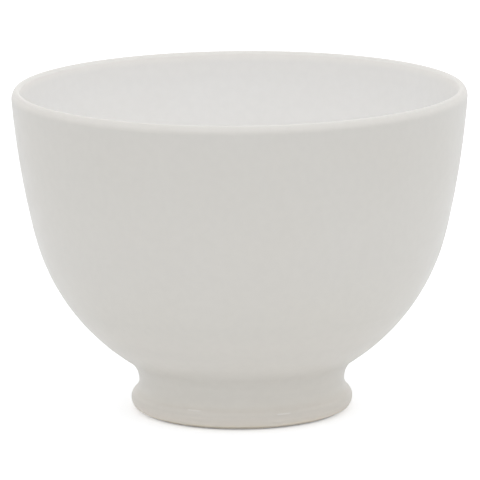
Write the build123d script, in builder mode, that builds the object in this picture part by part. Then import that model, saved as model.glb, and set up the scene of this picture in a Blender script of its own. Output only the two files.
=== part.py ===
"""Footed shaving bowl of glazed porcelain, built from the clay pieces and the fired coats it is made of.

Millimetres, +Z up. The origin is on the table, under the middle of the bowl.

Everything is turned about the Z axis, so each piece is one section in the XZ half plane, revolved.
All outlines are chains of tangent arcs. An outline is drawn either at the surface of the glaze or,
set in by the thickness of the glaze, at the surface of the clay under it.
"""

import os
from math import acos, asin, atan2, cos, degrees, radians, sin, sqrt, tan

from build123d import *

# --- Outside form, over the glaze -------------------------------------------------------------
rim_diameter = 120.0  # widest point, just under the crest of the lip
height = 86.2  # table to the crest of the lip
rim_draft = 4.4  # degrees that the wall leans outward where it meets the lip
wall_arc_radius = 232.0  # long arc of the upper wall
belly_radius = 56.0  # arc of the lower half of the bowl
upper_cove_radius = 7.3  # hollow curve from the waist out to the belly
waist_height = 7.9  # narrowest point, where the foot is stuck to the bowl
waist_recess = 2.1  # depth of the waist inside the widest point of the foot
lower_cove_radius = 3.8  # hollow curve from the waist out to the bead of the foot
foot_bead_radius = 2.6  # rounded shoulder of the foot
foot_diameter = 58.8  # widest point of the foot

# --- Lip --------------------------------------------------------------------------------------
lip_thickness = 2.4  # over the glaze on both sides
lip_shoulder_radius = 3.0  # outer rounding of the lip
lip_shoulder_end = 42.0  # degrees above level at which the shoulder gives way to the crest

# --- Clay -------------------------------------------------------------------------------------
wall_thickness = 3.4  # at the belly, over the glaze on both sides
floor_thickness = 3.4  # in the middle of the floor, over the glaze on both sides
floor_arc_start = 50.0  # degrees below level at which the inside of the belly becomes the floor
foot_wall_thickness = 3.8  # at the waist, over the glaze on both sides
well_fillet_radius = 1.2  # corner between the underside of the floor and the foot
slip_thickness = 0.5  # layer of slip between the foot ring and the bowl
outer_edge_radius = 1.5  # bare clay, from the outside of the foot to the table
bore_edge_radius = 0.6  # bare clay, from the bore of the foot to the table

# --- Glaze ------------------------------------------------------------------------------------
glaze_thickness = 0.3  # inside and outside alike
bare_band_height = 0.7  # the glaze stops this far above the table, outside and inside the foot


def bearing(start, end):
    """Direction from one point to another, in degrees from level."""
    return degrees(atan2(end.Y - start.Y, end.X - start.X))


def along(degrees_up):
    """Unit vector at an angle above level."""
    return Vector(cos(radians(degrees_up)), sin(radians(degrees_up)))


def arc_about(center, radius, start, end):
    """Arc about a centre, from one direction to another."""
    return CenterArc(center, radius, start, end - start)


# --- Centres and radii that make the arcs tangent ---------------------------------------------
rim_radius = rim_diameter / 2
foot_radius = foot_diameter / 2
waist_radius = foot_radius - waist_recess
bore_radius = waist_radius - foot_wall_thickness

# Lip: the shoulder touches the rim's diameter, the crest reaches the height
shoulder_end_cos = cos(radians(lip_shoulder_end))
crest_radius = (lip_thickness - lip_shoulder_radius * (1 - shoulder_end_cos)) / (1 + shoulder_end_cos)
shoulder_to_crest = (lip_shoulder_radius - crest_radius) * along(lip_shoulder_end)
shoulder_center = Vector(rim_radius - lip_shoulder_radius, height - crest_radius - shoulder_to_crest.Y)
crest_center = shoulder_center + shoulder_to_crest

# Wall: runs into the shoulder of the lip at the rim's draft
wall_center = shoulder_center - (wall_arc_radius - lip_shoulder_radius) * along(-rim_draft)

# Upper cove: leaves the waist upright
upper_cove_center = Vector(waist_radius + upper_cove_radius, waist_height)

# Belly: inside the wall's arc and outside the cove's, which two distances place
wall_to_cove = upper_cove_center - wall_center
wall_to_belly_length = wall_arc_radius - belly_radius
cove_to_belly_length = belly_radius + upper_cove_radius
along_cove = (wall_to_cove.length**2 + wall_to_belly_length**2 - cove_to_belly_length**2) / (
    2 * wall_to_cove.length
)
off_cove = sqrt(wall_to_belly_length**2 - along_cove**2)
belly_center = (
    wall_center
    + along_cove * wall_to_cove.normalized()
    + off_cove * wall_to_cove.normalized().rotate(Axis.Z, 90)
)

# Foot: the bead touches the lower cove, and the round under it would touch the table
cove_to_bead_length = lower_cove_radius + foot_bead_radius
lower_cove_center = Vector(waist_radius + lower_cove_radius, waist_height)
bead_end = degrees(acos(1 - waist_recess / cove_to_bead_length))
bead_center = lower_cove_center - cove_to_bead_length * along(bead_end)
foot_round_radius = bead_center.Y
foot_round_center = Vector(foot_radius - foot_round_radius, foot_round_radius)
glaze_line_angle = degrees(acos(1 - bare_band_height / foot_round_radius)) - 90

# Inside: from the lip's draft into an arc that leaves the wall its thickness, then into the floor
hollow_radius = belly_radius - wall_thickness
inner_lip_point = crest_center - crest_radius * along(-rim_draft)
belly_to_lip = inner_lip_point - belly_center
lip_overhang = belly_to_lip.dot(along(-rim_draft)) - hollow_radius
inner_wall_radius = (belly_to_lip.length**2 - hollow_radius**2) / (2 * lip_overhang)
inner_wall_center = inner_lip_point - inner_wall_radius * along(-rim_draft)
floor_to_belly = belly_center.X / cos(radians(floor_arc_start))
floor_radius = hollow_radius + floor_to_belly
floor_center = belly_center - floor_to_belly * along(-floor_arc_start)

# Foot well: the underside follows the floor, and a fillet leads it into the bore of the foot
underside_radius = floor_radius + floor_thickness
well_fillet_x = bore_radius - well_fillet_radius
well_fillet_drop = sqrt((underside_radius + well_fillet_radius) ** 2 - well_fillet_x**2)
well_fillet_center = Vector(well_fillet_x, floor_center.Y - well_fillet_drop)


# --- Outlines, set in from the surface of the glaze -------------------------------------------
def bowl_outside(inset):
    """From the waist up the outside to the crest of the lip."""
    cove_end = bearing(upper_cove_center, belly_center)
    belly_end = bearing(wall_center, belly_center)
    cove = arc_about(upper_cove_center, upper_cove_radius + inset, 180, cove_end)
    arc_about(belly_center, belly_radius - inset, cove_end - 180, belly_end)
    arc_about(wall_center, wall_arc_radius - inset, belly_end, -rim_draft)
    arc_about(shoulder_center, lip_shoulder_radius - inset, -rim_draft, lip_shoulder_end)
    crest = arc_about(crest_center, crest_radius - inset, lip_shoulder_end, 90)
    return cove @ 0, crest @ 1


def bowl_inside(inset):
    """From the crest of the lip down the inside to the middle of the floor."""
    hollow_start = bearing(inner_wall_center, belly_center)
    crest = arc_about(crest_center, crest_radius - inset, 90, 180 - rim_draft)
    arc_about(inner_wall_center, inner_wall_radius + inset, -rim_draft, hollow_start)
    arc_about(belly_center, hollow_radius + inset, hollow_start, -floor_arc_start)
    floor = arc_about(floor_center, floor_radius + inset, -floor_arc_start, -90)
    return crest @ 0, floor @ 1


def foot_well(end_height, inset):
    """From the middle of the underside out to the bore of the foot, and down it."""
    fillet_start = bearing(well_fillet_center, floor_center)
    underside = arc_about(floor_center, underside_radius - inset, -90, fillet_start - 180)
    fillet = arc_about(well_fillet_center, well_fillet_radius + inset, fillet_start, 0)
    bore = Line(fillet @ 1, (bore_radius + inset, end_height))
    return underside @ 0, bore @ 1


def under_waist(drop, inset):
    """Direction from the centre of the lower cove to its surface, at a drop under the waist."""
    return 180 + degrees(asin(drop / (lower_cove_radius + inset)))


def foot_outside(drop, inset):
    """From a drop under the waist down the outside of the foot to the glaze line."""
    cove = arc_about(
        lower_cove_center, lower_cove_radius + inset, under_waist(drop, inset), 180 + bead_end
    )
    arc_about(bead_center, foot_bead_radius - inset, bead_end, 0)
    foot_round = arc_about(foot_round_center, foot_round_radius - inset, 0, glaze_line_angle)
    return cove @ 0, foot_round @ 1


# --- Bowl body: porcelain clay, with the boss that the foot is stuck to ------------------------
with BuildPart() as bowl_body:
    with BuildSketch(Plane.XZ):
        with BuildLine():
            boss_outer = bowl_outside(glaze_thickness)[0]
            floor_middle = bowl_inside(glaze_thickness)[1]
            underside_middle, boss_inner = foot_well(waist_height, glaze_thickness)
            Line(floor_middle, underside_middle)
            Line(boss_inner, boss_outer)
        make_face()
    revolve(axis=Axis.Z)
bowl_body.part.label = "bowl_body"

# --- Foot ring: clay, bare where it stands on the table -----------------------------------------
with BuildPart() as foot_ring:
    with BuildSketch(Plane.XZ) as foot_section:
        with BuildLine():
            seat_outer, glaze_line = foot_outside(slip_thickness, glaze_thickness)
            bare_run = glaze_line.Y / tan(radians(glaze_line_angle + 90))
            table_outer = Line(glaze_line, (glaze_line.X - bare_run, 0)) @ 1
            table_inner = Line(table_outer, (bore_radius + glaze_thickness, 0)) @ 1
            seat_inner = Line(table_inner, (table_inner.X, seat_outer.Y)) @ 1
            Line(seat_inner, seat_outer)
        make_face()
        for corner, edge_radius in ((0, bore_edge_radius), (-1, outer_edge_radius)):
            on_table = foot_section.vertices().group_by(Axis.Y)[0].sort_by(Axis.X)
            fillet(on_table[corner], radius=edge_radius)
    revolve(axis=Axis.Z)
foot_ring.part.label = "foot_ring"

# --- Luting slip: the thin layer of clay that holds the foot ring to the boss -------------------
with BuildPart() as luting_slip:
    with BuildSketch(Plane.XZ):
        with BuildLine():
            Line(boss_inner, boss_outer)
            arc_about(
                lower_cove_center,
                lower_cove_radius + glaze_thickness,
                under_waist(0, glaze_thickness),
                under_waist(slip_thickness, glaze_thickness),
            )
            Line(seat_outer, seat_inner)
            Line(seat_inner, boss_inner)
        make_face()
    revolve(axis=Axis.Z)
luting_slip.part.label = "luting_slip"

# --- Outer glaze: from the glaze line on the foot to the crest of the lip ----------------------
with BuildPart() as outer_glaze:
    with BuildSketch(Plane.XZ):
        with BuildLine():
            glaze_line_surface = foot_outside(0, 0)[1]
            glaze_line_clay = foot_outside(0, glaze_thickness)[1]
            Line(glaze_line_surface, glaze_line_clay)
            Line(bowl_outside(0)[1], bowl_outside(glaze_thickness)[1])
        make_face()
    revolve(axis=Axis.Z)
outer_glaze.part.label = "outer_glaze"

# --- Inner glaze: from the crest of the lip over the whole inside ------------------------------
with BuildPart() as inner_glaze:
    with BuildSketch(Plane.XZ):
        with BuildLine():
            crest_surface, floor_surface = bowl_inside(0)
            crest_clay, floor_clay = bowl_inside(glaze_thickness)
            Line(crest_surface, crest_clay)
            Line(floor_surface, floor_clay)
        make_face()
    revolve(axis=Axis.Z)
inner_glaze.part.label = "inner_glaze"

# --- Foot well glaze: under the floor and down the bore of the foot to its glaze line ----------
with BuildPart() as foot_well_glaze:
    with BuildSketch(Plane.XZ):
        with BuildLine():
            underside_surface, bore_surface = foot_well(bare_band_height, 0)
            underside_clay, bore_clay = foot_well(bare_band_height, glaze_thickness)
            Line(underside_surface, underside_clay)
            Line(bore_surface, bore_clay)
        make_face()
    revolve(axis=Axis.Z)
foot_well_glaze.part.label = "foot_well_glaze"

# --- One STEP file for each piece --------------------------------------------------------------
os.makedirs("parts", exist_ok=True)
export_step(bowl_body.part, "parts/bowl_body.step")
export_step(foot_ring.part, "parts/foot_ring.step")
export_step(luting_slip.part, "parts/luting_slip.step")
export_step(outer_glaze.part, "parts/outer_glaze.step")
export_step(inner_glaze.part, "parts/inner_glaze.step")
export_step(foot_well_glaze.part, "parts/foot_well_glaze.step")
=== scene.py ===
"""The glazed shaving bowl's looks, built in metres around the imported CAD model.

The coats of glaze and the ground foot are turned again from the CAD nodes' own sections, with the
marks that turning, glazing, firing and grinding leave. Clay that glaze covers keeps its CAD mesh.
"""

from bisect import bisect
from math import ceil, cos, exp, radians, remainder, sin, sqrt, tau

import bmesh
import bpy
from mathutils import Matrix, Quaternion, Vector, noise


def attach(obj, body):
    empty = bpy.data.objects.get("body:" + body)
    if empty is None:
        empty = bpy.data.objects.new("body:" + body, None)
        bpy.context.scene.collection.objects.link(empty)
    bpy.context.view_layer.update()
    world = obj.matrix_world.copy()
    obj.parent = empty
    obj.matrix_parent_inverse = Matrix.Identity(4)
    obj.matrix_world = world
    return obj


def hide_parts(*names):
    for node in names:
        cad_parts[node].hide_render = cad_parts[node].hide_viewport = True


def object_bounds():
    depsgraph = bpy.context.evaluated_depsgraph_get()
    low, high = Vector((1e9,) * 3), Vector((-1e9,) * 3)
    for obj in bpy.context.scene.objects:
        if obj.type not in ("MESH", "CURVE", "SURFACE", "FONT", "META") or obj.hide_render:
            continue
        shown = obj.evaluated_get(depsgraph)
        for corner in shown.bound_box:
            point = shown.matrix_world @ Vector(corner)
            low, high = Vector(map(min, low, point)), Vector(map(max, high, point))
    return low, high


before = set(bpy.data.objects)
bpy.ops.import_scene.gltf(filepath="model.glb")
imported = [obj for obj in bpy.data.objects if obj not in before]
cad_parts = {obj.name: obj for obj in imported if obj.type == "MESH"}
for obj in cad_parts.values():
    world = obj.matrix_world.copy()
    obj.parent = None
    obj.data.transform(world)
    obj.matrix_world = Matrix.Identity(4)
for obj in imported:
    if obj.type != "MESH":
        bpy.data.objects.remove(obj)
cad_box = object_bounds()
low, high = cad_box
middle = (low + high) / 2

MM = 0.001
MERGE = 1e-7  # points nearer than this are one

# --- Turned meshes ------------------------------------------------------------------------------
GLAZE_SECTIONS = 288  # round the axis
FOOT_SECTIONS = 400
STEP = 0.9 * MM  # longest edge along a section
BARE_STEP = 0.1 * MM  # and along the bare clay
HIDDEN_SHARE = 4  # the covered side of a coat keeps every fourth point
TURN = radians(2.5)  # most that an arc turns at one point
CORNER = radians(30)  # where it turns by more, a section breaks into sides and a mesh is sharp
ARC_POINTS = 4  # so many points in a row on one circle show an arc
ARC_MISS = 5 * MERGE  # most that they miss it by
STRAIGHT_SINE = 5e-5  # three points are in line where the sine of their angle is smaller

# --- Marks of the making ------------------------------------------------------------------------
GLAZE = 0.3 * MM  # thickness of the coats in the CAD model
EDGE_FILM = 0.03 * MM  # what is left of a coat at its very edge
EDGE_ROUND = 0.45 * MM  # length over which a coat rounds down to its edge
EDGE_SWELL = 0.07 * MM  # height of the bead beside the edge
EDGE_SWELL_PITCH = 5 * MM  # over which it changes, round the foot
EDGE_WAVE = 0.35 * MM  # how far the edge wanders up from the level line
EDGE_WAVE_PITCH = 11 * MM
EDGE_BAND = 2 * MM  # the steps along a coat are short below this height
EDGE_STEP = 0.12 * MM
EDGE_REACH = 5 * MM  # how far up the coat follows its edge
NO_EDGE = 1.0  # stands for the way to the glaze line where there is none to show
RUN_BAND = 5.6 * MM  # short runs of glaze stand on the foot below this height
RUN_STEP = 0.2 * MM
RUN_WIDTH = 0.36 * MM
RUN_CUTOFF = 3  # widths to either side of its line, past which a run is nothing
RUN_FULL, RUN_GONE = 0.6, 1.2  # between these shares of its half length it dies away
RUNS = (  # azimuth, height, half length and depth of each
    (radians(-116), 5.0 * MM, 2.5 * MM, 0.13 * MM),
    (radians(-113), 2.9 * MM, 1.6 * MM, 0.09 * MM),
    (radians(-68), 4.2 * MM, 2.7 * MM, 0.15 * MM),
    (radians(-71), 2.3 * MM, 1.3 * MM, 0.12 * MM),
)
LIP_REACH = 7 * MM  # rings and unevenness die away over this length, and leave the lip even
WALL_EASE = 0.03 * MM  # sets the outside within the CAD mesh, whose circles are polygons
WALL_EASE_REACH = 2 * MM  # the length below the crest over which that sets in
RING_DEPTH = 0.01 * MM  # turning rings that show through the glaze
RING_PITCH = 7.5 * MM
SAG_DEPTH = 0.05 * MM  # unevenness of the glaze, in lines that change slowly round the bowl
SAG_PITCH = 28 * MM
POOL_DEPTH = 0.1 * MM  # glaze that gathered in the bottom and in the corner of the foot well
POOL_REACH = 22 * MM
WELL_RING_DEPTH = 0.03 * MM  # rings left by the turning tool under the floor
WELL_RING_PITCH = 3.2 * MM
WELL_RING_START = 3 * MM  # the distance from the middle at which they are full
WELL_SAG_PITCH = 9 * MM
WELL_CORNER = 8.4 * MM  # from the glaze line of the foot well to its corner
WELL_CORNER_WIDTH = 1.2 * MM
GRIND_BAND = 0.25 * MM  # the foot is ground below this height
GRIND_DEPTH = 0.04 * MM  # scratches round the ground foot
GRIND_PITCH = 0.3 * MM
GRIND_CHANGE = 1.5  # cells of the noise that a radian round the foot crosses
GRAIN_DEPTH = 0.03 * MM  # coarse grain of the bare clay
GRAIN_PITCH = 0.8 * MM
GRAIN_BAND = 1 * MM  # it is full below this height and gone by the top of the edge band

# Layers of the noise, so that no mark follows another
GRIND_LAYER = 2.0
WAVE_LAYER = 3.0
INSIDE_LAYER = 5.0
SWELL_LAYER = 8.0
WELL_LAYER = 9.0

# --- Finish -------------------------------------------------------------------------------------
# Tones of the glaze at heights in mm. They hold painted light and shade: darker all over than the
# inside coat, lighter down the wall, in the cove and over the foot's bottom edge, a darker line at
# about 3.9 mm, a painted highlight in a band below the lip and painted shade on its crest. They are
# warmer over the thin edges
OUTSIDE_TONES_AND_PAINTED_LIGHT = (
    (0.7, (0.960, 0.900, 0.810)),
    (1.2, (0.940, 0.890, 0.800)),
    (1.8, (0.860, 0.810, 0.742)),
    (2.5, (0.800, 0.758, 0.698)),
    (3.2, (0.752, 0.717, 0.664)),
    (3.9, (0.718, 0.688, 0.640)),
    (4.7, (0.742, 0.714, 0.668)),
    (6.8, (0.748, 0.726, 0.682)),
    (11.0, (0.777, 0.754, 0.707)),
    (17.0, (0.818, 0.792, 0.740)),
    (23.0, (0.769, 0.743, 0.693)),
    (31.0, (0.733, 0.712, 0.665)),
    (50.0, (0.709, 0.691, 0.653)),
    (76.0, (0.691, 0.674, 0.637)),
    (83.7, (0.686, 0.670, 0.636)),
    (85.4, (0.752, 0.735, 0.705)),
    (86.2, (0.718, 0.703, 0.680)),
)
# Tones of the inside coat at heights in mm: the same glaze, lighter all over than the outside as
# painted light, with a painted highlight by the lip and painted shade on its crest
INSIDE_TONES_AND_PAINTED_LIGHT = (
    (5.0, (0.858, 0.855, 0.850)),
    (79.0, (0.860, 0.858, 0.856)),
    (83.0, (0.872, 0.868, 0.863)),
    (85.4, (0.930, 0.918, 0.900)),
    (86.2, (0.722, 0.707, 0.686)),
)
UNDERSIDE_TONES = ((0.0, (0.760, 0.738, 0.700)), (9.0, (0.790, 0.772, 0.740)))

# The ranges of noise that the patches in a finish are drawn from
NOISE_MIDDLE = (0.3, 0.7)
NOISE_WIDE = (0.2, 0.8)
NOISE_UPPER = (0.35, 0.7)

WHITE = (1, 1, 1, 1)
CLOUD_TINT = (0.990, 0.980, 0.965, 1)  # slow clouds in the glaze
CLOUD_SIZE = 34 * MM
THICK_GLAZE_AND_HIGHLIGHT_TONE = (0.86, 0.84, 0.81, 1)  # glaze that stands out in runs: lighter as thick glaze, and as a painted highlight along them
THICK_GLAZE_AND_HIGHLIGHT_RANGE = (0.05 * MM, 0.16 * MM)  # how far it stands out where that tone begins and is full
MOTTLE_SHADES = (0.985, 1.0)
MOTTLE_SIZE = 2.2 * MM
SPECK_TONE = (0.40, 0.34, 0.27, 1)
SPECK_STRENGTH = 0.6
SPECK_SPACING = 11 * MM
SPECK_SHARE = 0.05  # share of the cells that hold a speck
SPECK_RADII = (0.012, 0.03)  # where a speck is full and where it ends, in spacings
THIN_REACHES = (0.45 * MM, 1.5 * MM)  # how far from its edge the glaze is thin, raggedly
THIN_SIZE = 3 * MM
GLAZE_ROUGHNESS = (0.30, 0.38)
GLAZE_ROUGHNESS_SIZE = 7 * MM
GLAZE_IOR = 1.5
GLAZE_SPECULAR = 0.35
PEEL_DEPTH = 0.006 * MM  # slight waviness of the glaze, like orange peel
PEEL_SIZE = 2.6 * MM
PIN_HOLE_DEPTH = 0.02 * MM  # of the hole at each speck
FLASH_TONE = (0.96, 0.86, 0.71, 1)  # clay toasted by the kiln
FLASH_STRENGTH = 0.75
FLASH_HEIGHTS = (0.05 * MM, 0.5 * MM)  # clay is toasted above a ragged line between these
FLASH_SIZE = 4 * MM
FLASH_RISE = 0.5 * MM  # from where it begins to where it is full
CLAY_TONE = (0.92, 0.87, 0.79, 1)
CLAY_PALE_TONE = (0.95, 0.91, 0.84, 1)
CLAY_CLOUD_SIZE = 9 * MM
CLAY_ROUGHNESS = (0.70, 0.88)
CLAY_ROUGHNESS_SIZE = 3 * MM
GRIT_SHADES = (0.92, 1.0)
GRIT_SIZE = 0.25 * MM
FINE_GRAIN_DEPTH = 0.02 * MM
FINE_GRAIN_SIZE = 0.18 * MM

# --- Surroundings and camera --------------------------------------------------------------------
FLOOR_SIZE = 6.0
FLOOR_PARTS = 8  # faces along each side of it
FLOOR_TONE = (0.886, 0.9, 0.926, 1)
FLOOR_LIFT = 0.345  # what the paper adds to its light for the camera, so that it shows as white
FLOOR_GLOSS_SHARE = 0.15  # share of that which shows in reflections
WORLD_TONE = (1.0, 0.998, 0.992, 1)
HORIZON_LIGHT = 0.1  # strength of the world at the horizon
SKY_LIGHT = 1.1  # and overhead
SKY_FROM, SKY_TO = 0.05, 0.33  # sines of the elevations between which it rises
OVERHEAD_PLACE = Vector((0.2, 0.1, 1.0))  # from the middle of the bowl's box
OVERHEAD_SIZE = 0.9
OVERHEAD_POWER = 0.9
CAMERA_LENS = 381.8
CAMERA_DISTANCE = 1.346
CAMERA_RISE = radians(11.41)
CAMERA_ROLL = radians(-0.465)
CAMERA_AIM = Vector((-0.00018, 0, 0.002))  # from the middle of the bowl's box


# --- Sections of the CAD nodes ------------------------------------------------------------------
def seam_outline(node):
    """The section of a turned CAD node as (radius, height) points in order, read where y is 0."""
    shape = bmesh.new()
    shape.from_mesh(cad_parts[node].data)
    bmesh.ops.remove_doubles(shape, verts=shape.verts, dist=MERGE)
    seam = {v for v in shape.verts if abs(v.co.y) < MERGE and v.co.x > -MERGE}
    links = {v: [w for w in (e.other_vert(v) for e in v.link_edges) if w in seam] for v in seam}
    here = min(seam, key=lambda v: (len(links[v]), v.co.z, v.co.x))
    closed = len(links[here]) > 1
    walked = [here]
    onward = links[here]
    while onward:
        here = min(onward, key=lambda v: (v.co.z, v.co.x))
        walked.append(here)
        onward = [w for w in links[here] if w not in walked]
    points = [Vector((max(v.co.x, 0.0), v.co.z)) for v in walked]
    shape.free()
    if closed:
        points.append(points[0].copy())
    return points


def is_corner(points, i):
    """Whether the outline turns sharply at its point i."""
    before, after = points[i] - points[i - 1], points[i + 1] - points[i]
    return before.angle(after) > CORNER


def sides_of(points):
    """The outline's smooth sides, split at its corners."""
    if (points[0] - points[-1]).length < MERGE:
        first = next(i for i in range(1, len(points) - 1) if is_corner(points, i))
        points = points[first:-1] + points[: first + 1]
    breaks = [i for i in range(1, len(points) - 1) if is_corner(points, i)]
    ends = [0] + breaks + [len(points) - 1]
    return [points[a : b + 1] for a, b in zip(ends, ends[1:])]


def circle_through(a, b, c):
    """Centre of the circle through three points, or None where they are in line."""
    ab, ac = b - a, c - a
    cross = ab.x * ac.y - ab.y * ac.x
    if abs(cross) < STRAIGHT_SINE * ab.length * ac.length:
        return None
    across = Vector((ac.y, -ac.x)) * ab.length_squared - Vector((ab.y, -ab.x)) * ac.length_squared
    return a + across / (2 * cross)


def arc_center(points, i):
    """Centre of the arc that the edge from point i to i + 1 lies on, or None if it is straight.

    Any three points fit a circle, so an arc is taken only from four in a row.
    """
    best, best_miss = None, ARC_MISS
    earliest = max(i + 2 - ARC_POINTS, 0)
    latest = min(i, len(points) - ARC_POINTS)
    for first in range(earliest, latest + 1):
        stretch = points[first : first + ARC_POINTS]
        center = circle_through(*stretch[:3])
        if center is None:
            continue
        radius = (points[i] - center).length
        miss = max(abs((p - center).length - radius) for p in stretch)
        if miss < best_miss:
            best, best_miss = center, miss
    return best


def refined(points, longest):
    """The same side divided more finely, along its arcs. longest(point) is the step wanted there."""
    fine = [points[0]]
    for i, (start, end) in enumerate(zip(points, points[1:])):
        center = arc_center(points, i)
        count = ceil((end - start).length / min(longest(start), longest(end)))
        if center is None:
            fine += [start.lerp(end, k / count) for k in range(1, count + 1)]
            continue
        spoke = start - center
        turn = -spoke.angle_signed(end - center)
        count = max(count, ceil(abs(turn) / TURN))
        for k in range(1, count + 1):
            c, s = cos(turn * k / count), sin(turn * k / count)
            fine.append(center + Vector((spoke.x * c - spoke.y * s, spoke.x * s + spoke.y * c)))
    return fine


class Side:
    """A smooth side of a section, followed by distance from its start."""

    def __init__(self, points, longest):
        self.points = refined(points, longest)
        self.marks = [0.0]
        for start, end in zip(self.points, self.points[1:]):
            self.marks.append(self.marks[-1] + (end - start).length)
        self.length = self.marks[-1]

    def heading(self, i):
        """Direction of travel at the side's point i."""
        before, after = self.points[max(i - 1, 0)], self.points[min(i + 1, len(self.points) - 1)]
        return (after - before).normalized()

    def at(self, distance):
        """The point at a distance along the side, and the direction to the right of travel."""
        i = min(max(bisect(self.marks, distance), 1), len(self.marks) - 1)
        share = (distance - self.marks[i - 1]) / (self.marks[i] - self.marks[i - 1])
        heading = self.heading(i - 1).lerp(self.heading(i), share)
        right = Vector((heading.y, -heading.x)).normalized()
        return self.points[i - 1].lerp(self.points[i], share), right


# --- Turning a mesh -----------------------------------------------------------------------------
def smooth_step(value, start, end):
    """0 up to start, 1 from end on, with a smooth rise between them."""
    share = min(max((value - start) / (end - start), 0.0), 1.0)
    return share * share * (3 - 2 * share)


def wander(distance, azimuth, pitch, layer):
    """Smooth noise from 0 to 1 that closes on itself round the axis. distance is from the axis."""
    spot = Vector((distance * cos(azimuth), distance * sin(azimuth), layer)) / pitch
    return 0.5 + 0.5 * noise.noise(spot)


def turned(name, section, count, material, node):
    """Adds a piece whose mesh is turned about Z from count sections.

    section(azimuth) gives one loop of (radius, height, edge, swell) rows, where edge is the way to
    the glaze line and swell is how far the surface stands out of the CAD's. Every loop has as many
    rows, and a row on the axis is one vertex for all of them.
    """
    rings = [section(tau * k / count) for k in range(count)]
    shape = bmesh.new()
    edge_layer = shape.verts.layers.float.new("edge")
    swell_layer = shape.verts.layers.float.new("swell")
    columns = []
    poles = {}
    for k, ring in enumerate(rings):
        azimuth = tau * k / count
        column = []
        for j, (radius, height, edge, swell) in enumerate(ring):
            vertex = poles.get(j)
            if vertex is None:
                vertex = shape.verts.new((radius * cos(azimuth), radius * sin(azimuth), height))
                vertex[edge_layer] = edge
                vertex[swell_layer] = swell
                if radius < MERGE:
                    poles[j] = vertex
            column.append(vertex)
        columns.append(column)
    rows = len(rings[0])
    for here, there in zip(columns, columns[1:] + columns[:1]):
        for j in range(rows):
            corners = (here[j], there[j], there[(j + 1) % rows], here[(j + 1) % rows])
            distinct = list(dict.fromkeys(corners))
            if len(distinct) > 2:
                shape.faces.new(distinct)
    bmesh.ops.recalc_face_normals(shape, faces=shape.faces)
    for face in shape.faces:
        face.smooth = True
    mesh = bpy.data.meshes.new(name)
    shape.to_mesh(mesh)
    shape.free()
    mesh.set_sharp_from_angle(angle=CORNER)
    mesh.materials.append(material)
    piece = bpy.data.objects.new(name, mesh)
    bpy.context.scene.collection.objects.link(piece)
    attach(piece, "root")
    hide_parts(node)


# --- Pieces -------------------------------------------------------------------------------------
def coat_step(point):
    """Longest step along a coat: short by its glaze line and on the foot."""
    if point.y < EDGE_BAND:
        return EDGE_STEP
    return RUN_STEP if point.y < RUN_BAND else STEP


def showing_side(node, outermost):
    """The side of a coat that shows, walked upward. outermost(point) is largest for it."""
    long_sides = sorted(sides_of(seam_outline(node)), key=len)[-2:]
    upward = [points if points[0].y < points[-1].y else points[::-1] for points in long_sides]
    return Side(max(upward, key=lambda points: outermost(points[0])), coat_step)


def coat(name, side, facing, relief, material, has_edge=True):
    """Adds a closed shell of glaze on a side. Its edge, if it has one, is where the side starts.

    facing is 1 where the glaze lies to the right of travel and -1 where it lies to the left.
    relief(distance, azimuth, point) says how far the glaze stands out of the CAD's surface.
    """
    edge_radius = side.points[0].x

    def section(azimuth):
        wave = bead = 0.0
        if has_edge:
            wave = EDGE_WAVE * wander(edge_radius, azimuth, EDGE_WAVE_PITCH, WAVE_LAYER)
            bead = EDGE_SWELL * wander(edge_radius, azimuth, EDGE_SWELL_PITCH, SWELL_LAYER)
        outer, inner = [], []
        for i, mark in enumerate(side.marks):
            distance = mark + wave * (1 - smooth_step(mark, 0, EDGE_REACH))
            point, right = side.at(distance)
            out = right * facing
            if point.x < MERGE:
                out.x = 0.0  # the coat lies level where it meets the axis
            rise = relief(distance, azimuth, point)
            if has_edge:
                rise += bead * exp(-(((mark - EDGE_ROUND) / EDGE_ROUND) ** 2))
                rounding = max(1 - mark / EDGE_ROUND, 0.0)
                rise -= (GLAZE + rise - EDGE_FILM) * (1 - sqrt(1 - rounding * rounding))
            top = point + out * rise
            outer.append((max(top.x, 0.0), top.y, mark if has_edge else NO_EDGE, rise))
            if i % HIDDEN_SHARE == 0 or i == len(side.marks) - 1:
                under = point - out * GLAZE
                inner.append((max(under.x, 0.0), under.y, NO_EDGE, 0.0))
        return outer + inner[::-1]

    turned(name, section, GLAZE_SECTIONS, material, name)


def run_rise(azimuth, point):
    """How far the short runs of glaze stand out at a point of the foot."""
    rise = 0.0
    for run_azimuth, height, half_length, depth in RUNS:
        around = abs(remainder(azimuth - run_azimuth, tau)) * point.x
        level = (point.y - height) / RUN_WIDTH
        if abs(level) < RUN_CUTOFF:
            fade = 1 - smooth_step(around, RUN_FULL * half_length, RUN_GONE * half_length)
            rise += depth * exp(-level * level) * fade
    return rise


def outer_glaze(material):
    """The coat on the outside, from the glaze line of the foot up to the crest of the lip."""
    side = showing_side("outer_glaze", lambda point: point.x)

    def relief(distance, azimuth, point):
        to_crest = side.length - distance
        sag = SAG_DEPTH * (wander(point.x, azimuth, SAG_PITCH, point.y / SAG_PITCH) - 0.5)
        ring = RING_DEPTH * cos(tau * distance / RING_PITCH)
        ease = WALL_EASE * smooth_step(to_crest, 0, WALL_EASE_REACH)
        return smooth_step(to_crest, 0, LIP_REACH) * (sag + ring) - ease + run_rise(azimuth, point)

    coat("outer_glaze", side, 1, relief, material)


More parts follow.
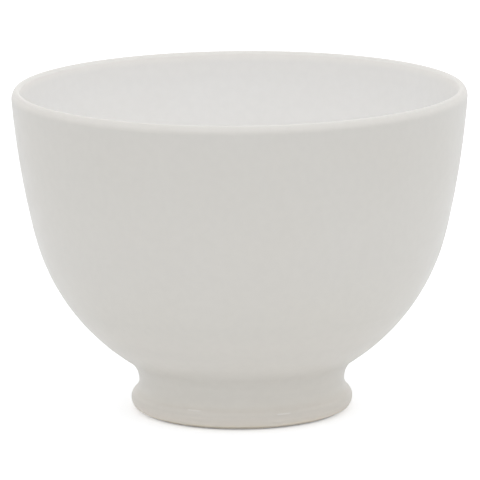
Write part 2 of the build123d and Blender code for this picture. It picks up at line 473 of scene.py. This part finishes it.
def inner_glaze(material):
    """The coat on the inside, from the middle of the floor up to the crest of the lip."""
    side = showing_side("inner_glaze", lambda point: point.y)

    def relief(distance, azimuth, point):
        to_crest = side.length - distance
        layer = INSIDE_LAYER + point.y / SAG_PITCH
        sag = SAG_DEPTH * (wander(point.x, azimuth, SAG_PITCH, layer) - 0.5)
        ring = RING_DEPTH * cos(tau * distance / RING_PITCH) * smooth_step(distance, 0, RING_PITCH)
        pool = POOL_DEPTH * (1 - smooth_step(distance, 0, POOL_REACH))
        return smooth_step(to_crest, 0, LIP_REACH) * (sag + ring) + pool

    coat("inner_glaze", side, -1, relief, material, has_edge=False)


def foot_well_glaze(material):
    """The coat under the floor and down the bore of the foot."""
    side = showing_side("foot_well_glaze", lambda point: -point.x)

    def relief(distance, azimuth, point):
        to_middle = side.length - distance
        fade = smooth_step(to_middle, 0, WELL_RING_START)
        ring = WELL_RING_DEPTH * sin(tau * to_middle / WELL_RING_PITCH) * fade
        sag = SAG_DEPTH * wander(point.x, azimuth, WELL_SAG_PITCH, WELL_LAYER)
        pool = POOL_DEPTH * exp(-(((distance - WELL_CORNER) / WELL_CORNER_WIDTH) ** 2))
        return pool + ring - sag

    coat("foot_well_glaze", side, -1, relief, material)


def foot_ring(material):
    """The foot's clay, whose bare band between the two glaze lines was ground flat."""
    outline = []
    for points in sides_of(seam_outline("foot_ring")):
        outline += refined(points, lambda point: BARE_STEP if point.y < EDGE_BAND else STEP)[:-1]
    before, after = outline[-1:] + outline[:-1], outline[1:] + outline[:1]
    headings = [(b - a).normalized() for a, b in zip(before, after)]
    leftward = sum(a.cross(b) for a, b in zip(outline, after))
    turn = 1 if leftward > 0 else -1

    def section(azimuth):
        rows = []
        for point, heading in zip(outline, headings):
            ground = 1 - smooth_step(point.y, 0, GRIND_BAND)
            bare = 1 - smooth_step(point.y, GRAIN_BAND, EDGE_BAND)
            spot = Vector((point.x / GRIND_PITCH, azimuth * GRIND_CHANGE, GRIND_LAYER))
            grain = wander(point.x, azimuth, GRAIN_PITCH, point.y / GRAIN_PITCH)
            cut = GRIND_DEPTH * abs(noise.noise(spot)) * ground + GRAIN_DEPTH * grain * bare
            into = Vector((-heading.y, heading.x)) * turn
            top = point + into * cut
            rows.append((top.x, max(top.y, 0.0), point.y, 0.0))
        return rows

    turned("foot_ring", section, FOOT_SECTIONS, material, "foot_ring")


# --- Shader nodes -------------------------------------------------------------------------------
def feed(tree, made, inputs):
    """Gives a node's sockets their values, or other nodes' sockets to link."""
    for socket, value in inputs.items():
        if isinstance(value, bpy.types.NodeSocket):
            tree.links.new(value, made.inputs[socket])
        else:
            made.inputs[socket].default_value = value


def add_node(tree, kind, inputs=None, **settings):
    """A new shader node with its settings and inputs."""
    made = tree.nodes.new("ShaderNode" + kind)
    for name, value in settings.items():
        setattr(made, name, value)
    feed(tree, made, inputs or {})
    return made


def computed(tree, operation, first, second, clamp=False):
    """What a Math node's operation makes of two values or sockets."""
    made = add_node(tree, "Math", {0: first, 1: second}, operation=operation, use_clamp=clamp)
    return made.outputs[0]


def mixed(tree, factor, first, second, blend="MIX"):
    """Colour mix of two colours or sockets."""
    made = add_node(tree, "Mix", data_type="RGBA", blend_type=blend)
    factor_socket, first_socket, second_socket, result_socket = 0, 6, 7, 2  # those for colours
    feed(tree, made, {factor_socket: factor, first_socket: first, second_socket: second})
    return made.outputs[result_socket]


def ranged(tree, value, start, end, out_start=0.0, out_end=1.0):
    """A value carried from one range to another, with soft ends."""
    ranges = {"From Min": start, "From Max": end, "To Min": out_start, "To Max": out_end}
    made = add_node(tree, "MapRange", {"Value": value, **ranges}, interpolation_type="SMOOTHSTEP")
    return made.outputs["Result"]


def noise_at(tree, place, size, detail=2.0):
    """Noise of about 0 to 1 whose features are about size metres across."""
    inputs = {"Vector": place, "Scale": 1 / size, "Detail": detail}
    return add_node(tree, "TexNoise", inputs).outputs["Fac"]


def patchy(tree, place, size, values, span=NOISE_MIDDLE, detail=2.0):
    """A value that passes from one of values to the other, in patches, as noise crosses span."""
    return ranged(tree, noise_at(tree, place, size, detail), *span, *values)


def bumped(tree, height, depth, under=None):
    """A normal bumped by a height of 0 to 1 over a depth in metres."""
    inputs = {"Height": height, "Distance": depth, "Strength": 1.0}
    if under is not None:
        inputs["Normal"] = under
    return add_node(tree, "Bump", inputs).outputs["Normal"]


def toned(tree, height, tones):
    """Colour by height in metres, eased between the tones."""
    share = computed(tree, "DIVIDE", height, high.z)
    made = add_node(tree, "ValToRGB", {"Fac": share})
    ramp = made.color_ramp
    ramp.interpolation = "EASE"
    while len(ramp.elements) < len(tones):
        ramp.elements.new(1.0)
    for stop, (at, tone) in zip(ramp.elements, tones):
        stop.position = min(at * MM / high.z, 1.0)
        stop.color = (*tone, 1)
    return made.outputs["Color"]


# --- Materials ----------------------------------------------------------------------------------
def new_material(name):
    """A material, its tree, its Principled shader, and sockets of the place and the height."""
    material = bpy.data.materials.new(name)
    material.use_nodes = True
    tree = material.node_tree
    place = add_node(tree, "TexCoord").outputs["Object"]
    height = add_node(tree, "SeparateXYZ", {"Vector": place}).outputs["Z"]
    return material, tree, tree.nodes["Principled BSDF"], place, height


def specks(tree, place):
    """1 at the iron specks, which stand in a few of the noise's cells, and 0 elsewhere."""
    cells = add_node(tree, "TexVoronoi", {"Vector": place, "Scale": 1 / SPECK_SPACING}).outputs
    near = ranged(tree, cells["Distance"], *SPECK_RADII, 1.0, 0.0)
    chance = add_node(tree, "SeparateColor", {"Color": cells["Color"]}).outputs["Red"]
    holds_one = computed(tree, "LESS_THAN", chance, SPECK_SHARE)
    return computed(tree, "MULTIPLY", near, holds_one)


def glaze_material(name, tones):
    """Satin white glaze over porcelain. Thin glaze by its edge lets the toasted clay show."""
    material, tree, shader, place, height = new_material(name)
    clouds = mixed(tree, noise_at(tree, place, CLOUD_SIZE), WHITE, CLOUD_TINT)
    color = mixed(tree, 1.0, toned(tree, height, tones), clouds, "MULTIPLY")
    swell = add_node(tree, "Attribute", attribute_name="swell").outputs["Fac"]
    # where the glaze stands out, as in the runs, it turns lighter: thick glaze and a painted
    # highlight
    color = mixed(tree, ranged(tree, swell, *THICK_GLAZE_AND_HIGHLIGHT_RANGE), color, THICK_GLAZE_AND_HIGHLIGHT_TONE)
    mottle = patchy(tree, place, MOTTLE_SIZE, MOTTLE_SHADES, detail=3.0)
    color = mixed(tree, 1.0, color, mottle, "MULTIPLY")
    speck = computed(tree, "MULTIPLY", specks(tree, place), SPECK_STRENGTH)
    color = mixed(tree, speck, color, SPECK_TONE)

    edge = add_node(tree, "Attribute", attribute_name="edge").outputs["Fac"]
    reach = patchy(tree, place, THIN_SIZE, THIN_REACHES, NOISE_WIDE)
    thin = ranged(tree, computed(tree, "DIVIDE", edge, reach, clamp=True), 0.0, 1.0, 1.0, 0.0)

    peel = bumped(tree, noise_at(tree, place, PEEL_SIZE, detail=1.0), PEEL_DEPTH)
    feed(tree, shader, {
        "Base Color": mixed(tree, thin, color, FLASH_TONE),
        "Roughness": patchy(tree, place, GLAZE_ROUGHNESS_SIZE, GLAZE_ROUGHNESS, detail=4.0),
        "Normal": bumped(tree, speck, -PIN_HOLE_DEPTH, peel),
        "IOR": GLAZE_IOR,
        "Specular IOR Level": GLAZE_SPECULAR,
    })
    return material


def clay_material():
    """Bare porcelain clay: warm, matt and fine-grained, toasted where the glaze ends."""
    material, tree, shader, place, height = new_material("bare_clay")
    clouds = patchy(tree, place, CLAY_CLOUD_SIZE, (0.0, 1.0), detail=3.0)
    color = mixed(tree, clouds, CLAY_TONE, CLAY_PALE_TONE)
    line = patchy(tree, place, FLASH_SIZE, FLASH_HEIGHTS, NOISE_WIDE)
    above = computed(tree, "SUBTRACT", height, line)
    toasted = ranged(tree, above, 0.0, FLASH_RISE, 0.0, FLASH_STRENGTH)
    color = mixed(tree, toasted, color, FLASH_TONE)
    grit = patchy(tree, place, GRIT_SIZE, GRIT_SHADES, NOISE_UPPER)
    fine_grain = noise_at(tree, place, FINE_GRAIN_SIZE, detail=3.0)
    feed(tree, shader, {
        "Base Color": mixed(tree, 1.0, color, grit, "MULTIPLY"),
        "Roughness": patchy(tree, place, CLAY_ROUGHNESS_SIZE, CLAY_ROUGHNESS),
        "Normal": bumped(tree, fine_grain, FINE_GRAIN_DEPTH),
    })
    return material


# --- Surroundings -------------------------------------------------------------------------------
def background_rays(tree, gloss_share=1.0):
    """1 for the camera's own rays, and gloss_share for rays off gloss or through glass."""
    path = add_node(tree, "LightPath").outputs
    bent = computed(tree, "MAXIMUM", path["Is Glossy Ray"], path["Is Transmission Ray"])
    part = computed(tree, "MULTIPLY", bent, gloss_share)
    return computed(tree, "MAXIMUM", path["Is Camera Ray"], part)


def white_floor():
    """A pale floor that shows white wherever the bowl doesn't shade it closely."""
    grid = bmesh.new()
    bmesh.ops.create_grid(grid, x_segments=FLOOR_PARTS, y_segments=FLOOR_PARTS, size=FLOOR_SIZE / 2)
    mesh = bpy.data.meshes.new("floor")
    grid.to_mesh(mesh)
    grid.free()
    floor = bpy.data.objects.new("floor", mesh)
    bpy.context.scene.collection.objects.link(floor)
    material = bpy.data.materials.new("floor_paper")
    material.use_nodes = True
    tree = material.node_tree
    tree.nodes.clear()
    paper = add_node(tree, "BsdfDiffuse", {"Color": FLOOR_TONE}).outputs[0]
    strength = computed(tree, "MULTIPLY", background_rays(tree, FLOOR_GLOSS_SHARE), FLOOR_LIFT)
    lift = add_node(tree, "Emission", {"Strength": strength}).outputs[0]
    both = add_node(tree, "AddShader", {0: paper, 1: lift}).outputs[0]
    add_node(tree, "OutputMaterial", {"Surface": both})
    mesh.materials.append(material)


def soft_world():
    """Even light from above and all round, weak at the horizon, and white behind everything."""
    world = bpy.data.worlds.new("studio")
    bpy.context.scene.world = world
    world.use_nodes = True
    tree = world.node_tree
    tree.nodes.clear()
    direction = add_node(tree, "TexCoord").outputs["Generated"]
    elevation = add_node(tree, "SeparateXYZ", {"Vector": direction}).outputs["Z"]
    strength = ranged(tree, elevation, SKY_FROM, SKY_TO, HORIZON_LIGHT, SKY_LIGHT)
    light = add_node(tree, "Background", {"Color": WORLD_TONE, "Strength": strength}).outputs[0]
    white = add_node(tree, "Background", {"Color": WHITE, "Strength": 1.0}).outputs[0]
    both = add_node(tree, "MixShader", {0: background_rays(tree), 1: light, 2: white}).outputs[0]
    add_node(tree, "OutputWorld", {"Surface": both})


def softbox(name, place, target, size, power):
    """A square area lamp turned towards a point."""
    data = bpy.data.lights.new(name, "AREA")
    data.size = size
    data.energy = power
    lamp = bpy.data.objects.new(name, data)
    lamp.location = place
    lamp.rotation_mode = "QUATERNION"
    lamp.rotation_quaternion = (target - place).to_track_quat("-Z", "Y")
    bpy.context.scene.collection.objects.link(lamp)


def far_camera(target):
    """A long lens a little above the bowl, held very slightly off level."""
    data = bpy.data.cameras.new("camera")
    data.lens = CAMERA_LENS
    camera = bpy.data.objects.new("camera", data)
    back = Vector((0, -cos(CAMERA_RISE), sin(CAMERA_RISE)))
    camera.location = target + back * CAMERA_DISTANCE
    camera.rotation_mode = "QUATERNION"
    level = (-back).to_track_quat("-Z", "Y")
    camera.rotation_quaternion = level @ Quaternion((0, 0, 1), CAMERA_ROLL)
    bpy.context.scene.collection.objects.link(camera)
    bpy.context.scene.camera = camera


# --- The scene ----------------------------------------------------------------------------------
far_camera(middle + CAMERA_AIM)

clay = clay_material()
# the outside coat's tones by height hold painted light and shade
outer_glaze(glaze_material("outside_glaze", OUTSIDE_TONES_AND_PAINTED_LIGHT))
# the inside coat's tones by height hold painted light and shade
inner_glaze(glaze_material("inside_glaze", INSIDE_TONES_AND_PAINTED_LIGHT))
foot_well_glaze(glaze_material("underside_glaze", UNDERSIDE_TONES))
foot_ring(clay)
for covered in ("bowl_body", "luting_slip"):
    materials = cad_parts[covered].data.materials
    materials.clear()
    materials.append(clay)

white_floor()
soft_world()
softbox("overhead", middle + OVERHEAD_PLACE, middle, OVERHEAD_SIZE, OVERHEAD_POWER)

bpy.context.scene.view_settings.view_transform = "Standard"
